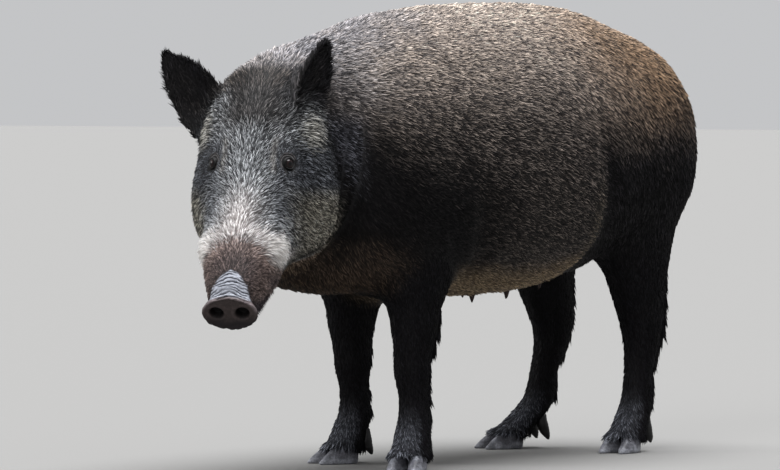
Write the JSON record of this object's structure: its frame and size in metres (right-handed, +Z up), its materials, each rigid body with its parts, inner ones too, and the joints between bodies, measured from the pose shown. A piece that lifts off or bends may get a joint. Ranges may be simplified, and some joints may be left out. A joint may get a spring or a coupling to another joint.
{
  "type": "wild boar model",
  "caption": "Life-size still model of a wild boar sow in a short dark coat, standing with its head lowered and turned to its left.",
  "frame": {"origin": "on the floor, under the centre of the model's box", "axes": "+X towards the boar's left side, +Y towards its tail (it faces -Y), +Z up"},
  "size_m": [0.4286, 1.3292, 0.7514],
  "materials": {
    "coat": "matt, short bristly hair",
    "face": "matt, fine grizzled hair",
    "legs": "matt, short black hair",
    "ear": "matt, short black hair",
    "snout": "bare damp skin, satin",
    "horn": "satin horn, scuffed",
    "eye": "wet gloss"
  },
  "bodies": {
    "root": {"ear_left": "ear", "ear_right": "ear", "eye_left": "eye", "eye_right": "eye", "fore_left_claw_inner": "horn", "fore_left_claw_outer": "horn", "fore_left_dewclaw_inner": "horn", "fore_left_dewclaw_outer": "horn", "fore_left_lower": "legs", "fore_left_upper": "legs", "fore_right_claw_inner": "horn", "fore_right_claw_outer": "horn", "fore_right_dewclaw_inner": "horn", "fore_right_dewclaw_outer": "horn", "fore_right_lower": "legs", "fore_right_upper": "legs", "head": "face", "hind_left_claw_inner": "horn", "hind_left_claw_outer": "horn", "hind_left_dewclaw_inner": "horn", "hind_left_dewclaw_outer": "horn", "hind_left_lower": "legs", "hind_left_upper": "legs", "hind_right_claw_inner": "horn", "hind_right_claw_outer": "horn", "hind_right_dewclaw_inner": "horn", "hind_right_dewclaw_outer": "horn", "hind_right_lower": "legs", "hind_right_upper": "legs", "lower_jaw": "face", "neck": "coat", "snout_disc": "snout", "tail": "coat", "trunk": "coat"}
  },
  "joints": []
}
